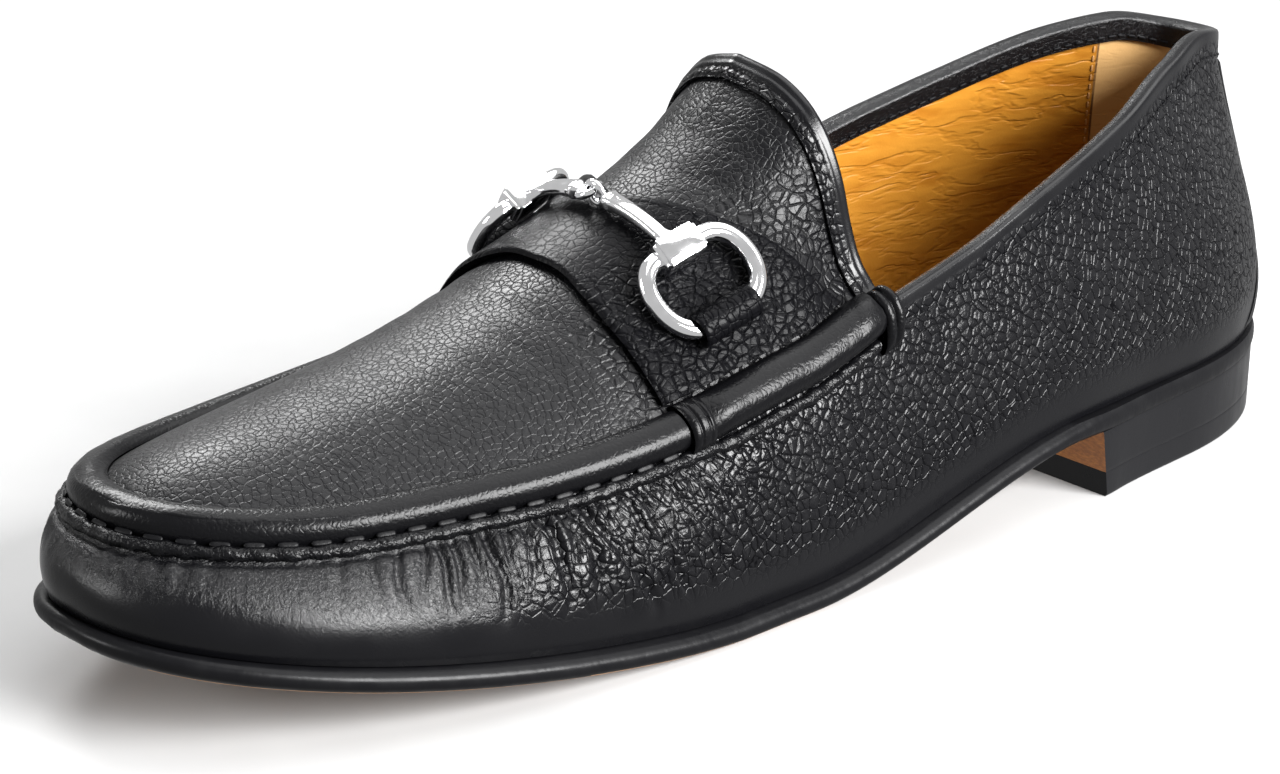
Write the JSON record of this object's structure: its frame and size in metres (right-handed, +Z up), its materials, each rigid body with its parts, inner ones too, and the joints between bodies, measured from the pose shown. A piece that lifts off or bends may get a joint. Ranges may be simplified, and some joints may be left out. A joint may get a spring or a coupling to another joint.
{
  "type": "bit loafer",
  "caption": "Left slip-on leather loafer with a moccasin seam round the apron, a saddle strap with a metal snaffle bit, a low tongue and a stacked heel.",
  "frame": {"origin": "on the floor, under the middle of the shoe's bounding box", "axes": "+X to the toe, +Y to the outer side, which is the wearer's left, +Z up"},
  "size_m": [0.2998, 0.0976, 0.0945],
  "materials": {
    "grained_leather": "black pebbled leather, satin",
    "smooth_leather": "black leather, finer grain, semi-gloss",
    "sole_edge": "black inked leather sole edge, semi-gloss",
    "heel_leather": "stacked leather, black at the sides and brown at the breast",
    "top_piece_rubber": "black rubber, matt",
    "lining_leather": "tan lining leather, matt",
    "bit_metal": "polished silver-coloured metal"
  },
  "bodies": {
    "root": {"outsole": "sole_edge", "heel_stack": "heel_leather", "heel_top_piece": "top_piece_rubber", "insole": "lining_leather", "upper": "grained_leather", "seam_roll": "smooth_leather", "saddle_strap": "smooth_leather", "collar_binding": "smooth_leather", "tongue_binding": "smooth_leather", "backstay": "smooth_leather", "side_wrap_lateral": "smooth_leather", "side_wrap_medial": "smooth_leather", "front_band_lateral": "smooth_leather", "front_band_medial": "smooth_leather", "rear_band_lateral": "smooth_leather", "rear_band_medial": "smooth_leather", "keeper_lateral": "smooth_leather", "keeper_medial": "smooth_leather", "bit_ring_lateral": "bit_metal", "bit_ring_medial": "bit_metal", "bit_link_lateral": "bit_metal", "bit_link_medial": "bit_metal"}
  },
  "joints": []
}
